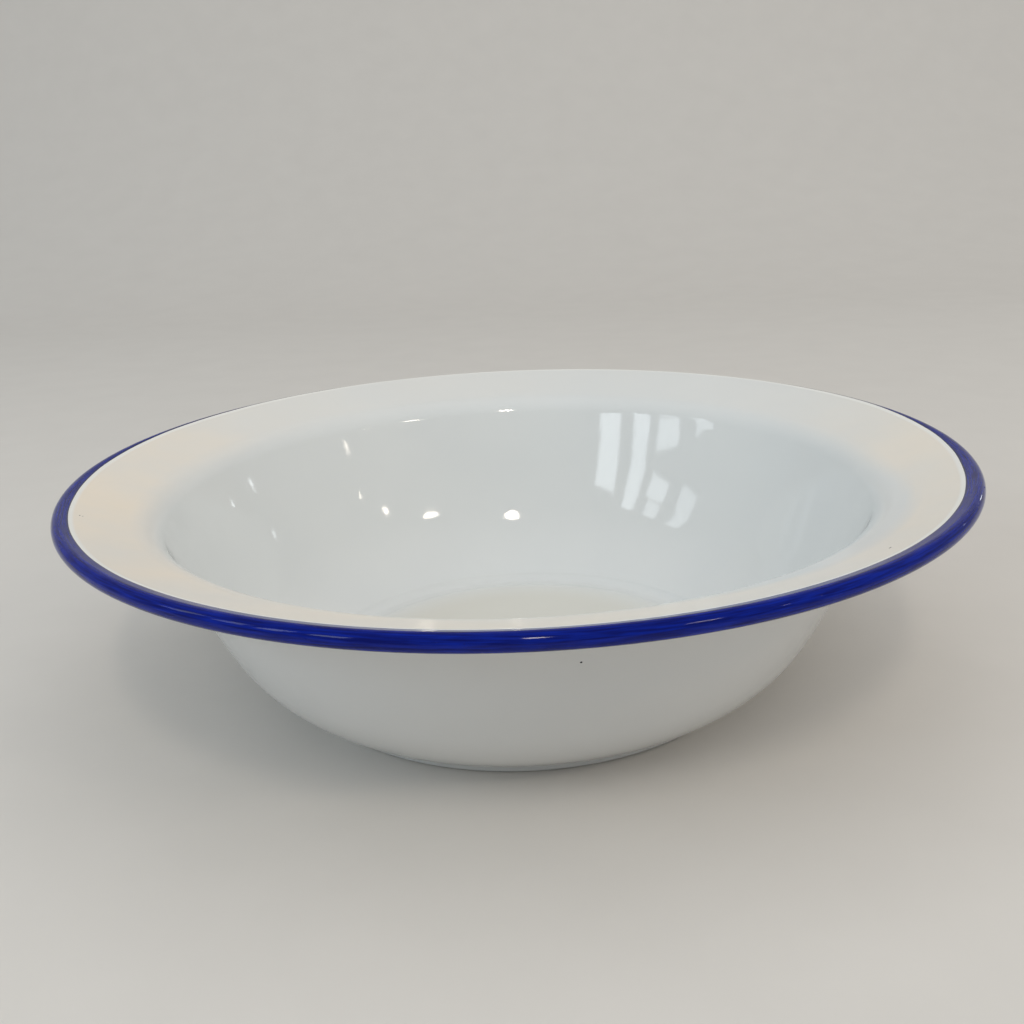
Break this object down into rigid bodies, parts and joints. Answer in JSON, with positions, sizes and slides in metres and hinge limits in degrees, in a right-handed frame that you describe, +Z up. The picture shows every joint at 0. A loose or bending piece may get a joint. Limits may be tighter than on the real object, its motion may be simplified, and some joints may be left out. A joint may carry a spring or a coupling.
{
  "type": "enamel basin bowl",
  "caption": "Round enamelled steel basin with a rounded wall, a wide sloping flange, a rolled blue rim and a low pressed foot, for washing up, bathing or holding food.",
  "frame": {"origin": "centre of the foot, on the table that the basin stands on", "axes": "+Z up along the basin's axis of symmetry, out of its mouth; X and Y lie in the table"},
  "size_m": [0.3399, 0.34, 0.088],
  "materials": {
    "sheet_steel": "satin",
    "ground_coat": "gloss",
    "inside_white": "gloss",
    "outside_white": "gloss",
    "rim_blue": "gloss"
  },
  "bodies": {
    "root": {"steel_bowl": "sheet_steel", "ground_enamel": "ground_coat", "inside_white_enamel": "inside_white", "outside_white_enamel": "outside_white", "blue_rim_enamel": "rim_blue"}
  },
  "joints": []
}
